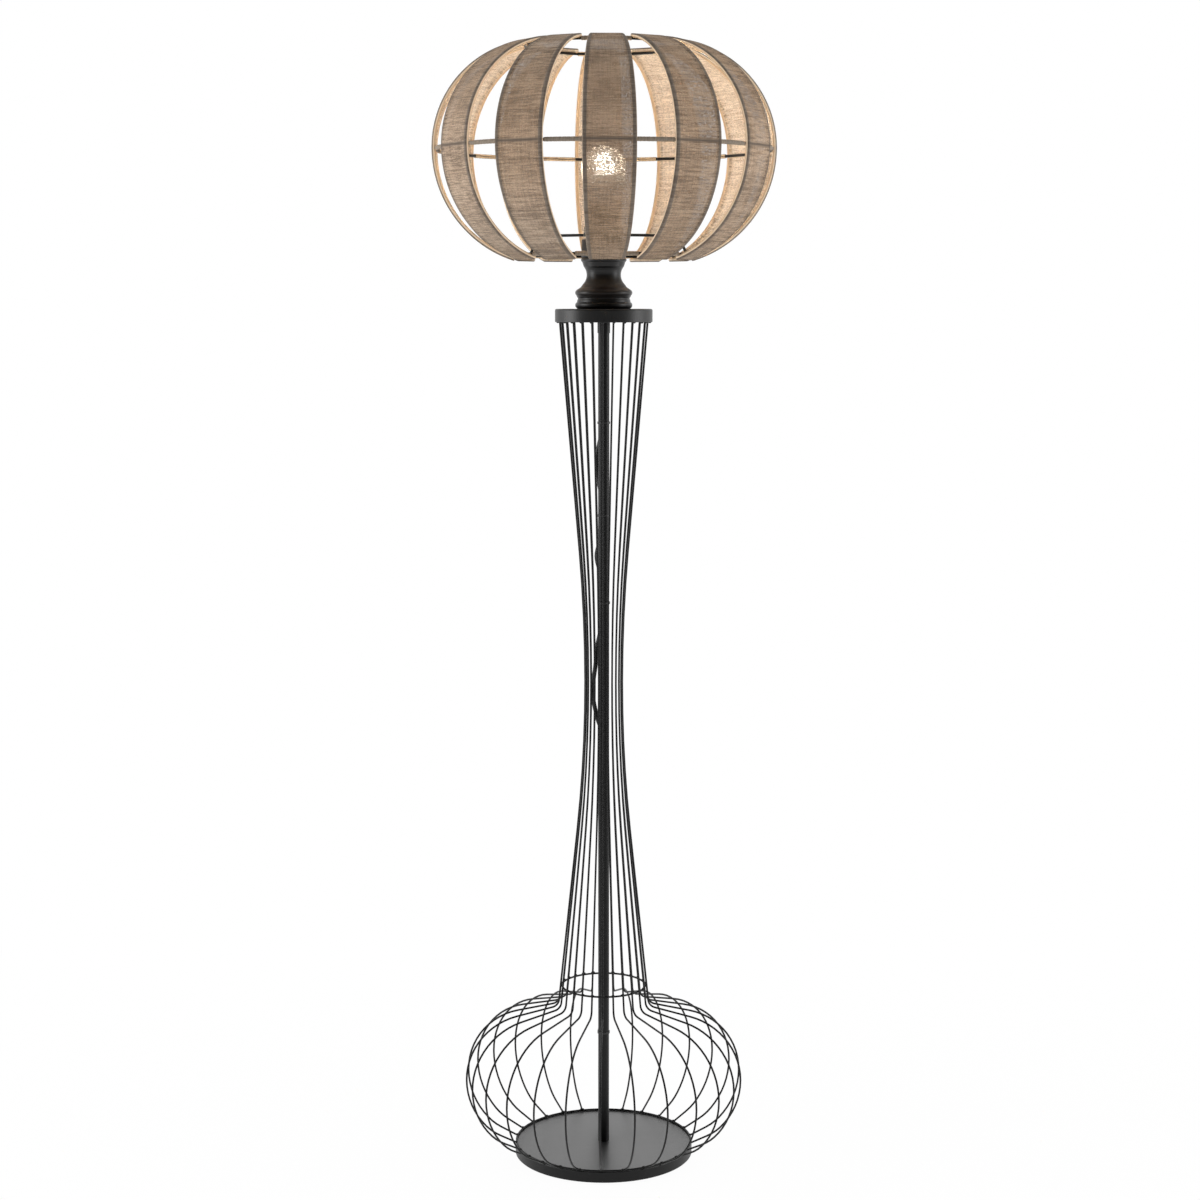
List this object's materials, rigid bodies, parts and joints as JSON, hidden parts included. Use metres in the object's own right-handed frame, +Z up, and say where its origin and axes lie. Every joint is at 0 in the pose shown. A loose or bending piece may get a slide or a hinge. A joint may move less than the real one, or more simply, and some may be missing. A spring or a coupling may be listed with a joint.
{
  "type": "floor lamp",
  "caption": "Floor lamp with a waisted cage of bent rods on a round base, a turned neck and a ball shade of jute cloth strips round the bulb.",
  "frame": {"origin": "on the floor under the middle of the pole, in the plane of the felt pads' underside", "axes": "+Z up along the pole, the pictured front faces -Y, +X to the right of that view"},
  "size_m": [0.451, 0.451, 1.5076],
  "materials": {
    "black_paint": "semi-matt black powder coat",
    "base_paint": "satin black lacquer",
    "neck_paint": "satin black-brown lacquer",
    "zinc": "zinc plated",
    "brass": "turned",
    "nickel": "nickel plated",
    "felt": "dense felt",
    "black_plastic": "fine grained",
    "steatite": "glazed ceramic",
    "bulb_white": "smooth",
    "bulb_opal": "opal",
    "board": "matt",
    "jute": "coarse slubby weave on a liner",
    "jute_tape": "woven tape",
    "cable": "smooth sheath",
    "core_wire": "smooth"
  },
  "bodies": {
    "lamp": {"felt_pads": "felt", "base_plate": "base_paint", "base_washer": "zinc", "base_nut": "zinc", "foot_stud": "brass", "foot_bush": "zinc", "pole": "black_paint", "pole_collar": "black_paint", "top_bush": "zinc", "foot_ring": "black_paint", "inner_ring": "black_paint", "cage_rods": "black_paint", "rod_plate": "black_paint", "plate_nut": "zinc", "lead_grommet": "cable", "cap": "black_paint", "threaded_tube": "brass", "turned_neck": "neck_paint", "holder_cup": "black_paint", "cup_nut": "zinc", "holder_base": "black_plastic", "holder_insert": "steatite", "holder_contact": "brass", "holder_shell": "brass", "holder_skirt": "black_plastic", "shade_spider": "black_paint", "shade_lock_ring": "black_plastic", "bottom_ring": "black_paint", "middle_ring": "black_paint", "top_ring": "black_paint", "shade_ribs": "black_paint", "shade_strips": "jute", "ring_tapes": "jute_tape", "inner_wires": "core_wire", "lead_upper": "cable", "lead_ties": "black_plastic", "switch_base": "black_plastic", "switch_cover": "black_plastic", "lead_lower": "cable", "lead_hank": "cable", "hank_tie": "black_plastic", "lead_tail": "cable", "plug_body": "black_plastic", "plug_pins": "nickel"},
    "bulb": {"bulb_contact": "black_plastic", "bulb_cap": "nickel", "bulb_body": "bulb_white", "bulb_board": "board", "bulb_dome": "bulb_opal"},
    "rocker": {"switch_rocker": "black_plastic"}
  },
  "joints": [
    {"name": "bulb_lift", "type": "slide", "parent": "lamp", "child": "bulb", "axis": [0, 0, 1], "range_m": [0, 0.25]},
    {"name": "rocker_press", "type": "hinge", "parent": "lamp", "child": "rocker", "pos_m": [0.0022, 0.0225, 0.37], "axis": [0, 1, 0], "range_deg": [-16, 0]}
  ]
}
